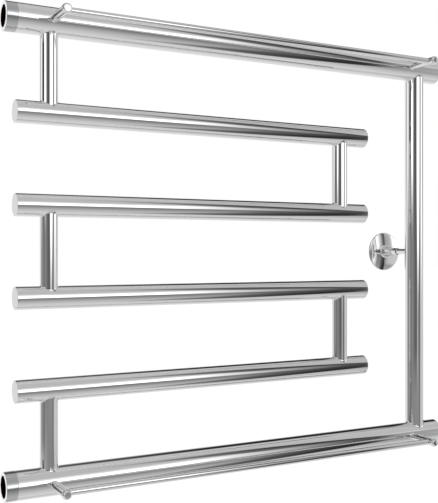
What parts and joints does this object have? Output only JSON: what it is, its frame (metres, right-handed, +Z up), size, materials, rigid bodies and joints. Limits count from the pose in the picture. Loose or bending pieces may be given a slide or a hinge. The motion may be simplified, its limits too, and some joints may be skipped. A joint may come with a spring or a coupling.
{
  "type": "towel warmer rack",
  "caption": "Wall-hung water-heated towel rack: two headers joined by a riser and a serpentine of tubular bars, with front towel rails and a telescopic wall bracket.",
  "frame": {"origin": "centre of the lower inlet's mouth, on the axis of the lower header", "axes": "+X along the headers from the inlets to the closed ends, +Y towards the wall, +Z up"},
  "size_m": [0.6, 0.1276, 0.532],
  "materials": {
    "polished_steel": "mirror-polished stainless steel tube",
    "brushed_sleeve": "turned stainless steel, finely brushed round the axis",
    "satin_cap": "ground and satin-polished stainless steel disc",
    "plated_fittings": "polished chrome plating",
    "screw_steel": "plain stainless steel grub screw"
  },
  "bodies": {
    "rack": {"top_header": "polished_steel", "bottom_header": "polished_steel", "top_inlet_sleeve": "brushed_sleeve", "bottom_inlet_sleeve": "brushed_sleeve", "top_header_cap": "satin_cap", "bottom_header_cap": "satin_cap", "riser": "polished_steel", "bar_1": "polished_steel", "bar_2": "polished_steel", "bar_3": "polished_steel", "bar_4": "polished_steel", "bar_1_left_cap": "satin_cap", "bar_1_right_cap": "satin_cap", "bar_2_left_cap": "satin_cap", "bar_2_right_cap": "satin_cap", "bar_3_left_cap": "satin_cap", "bar_3_right_cap": "satin_cap", "bar_4_left_cap": "satin_cap", "bar_4_right_cap": "satin_cap", "left_link_1": "polished_steel", "right_link_1": "polished_steel", "left_link_2": "polished_steel", "right_link_2": "polished_steel", "left_link_3": "polished_steel", "top_rail": "plated_fittings", "bottom_rail": "plated_fittings", "top_left_standoff": "plated_fittings", "top_right_standoff": "plated_fittings", "bottom_left_standoff": "plated_fittings", "bottom_right_standoff": "plated_fittings", "bracket_pin": "plated_fittings"},
    "bracket": {"bracket_sleeve": "plated_fittings"},
    "cover": {"rosette": "plated_fittings"},
    "grub": {"clamping_screw": "screw_steel"}
  },
  "joints": [
    {"name": "bracket_reach", "type": "slide", "parent": "rack", "child": "bracket", "axis": [0, 1, 0], "range_m": [-0.004, 0.006]},
    {"name": "rosette_slide", "type": "slide", "parent": "bracket", "child": "cover", "axis": [0, -1, 0], "range_m": [0, 0.018]},
    {"name": "clamping_screw_turn", "type": "hinge", "parent": "bracket", "child": "grub", "pos_m": [0.5655, 0.0385, 0.25], "axis": [0, 0, 1], "range_deg": [-180, 0]}
  ]
}
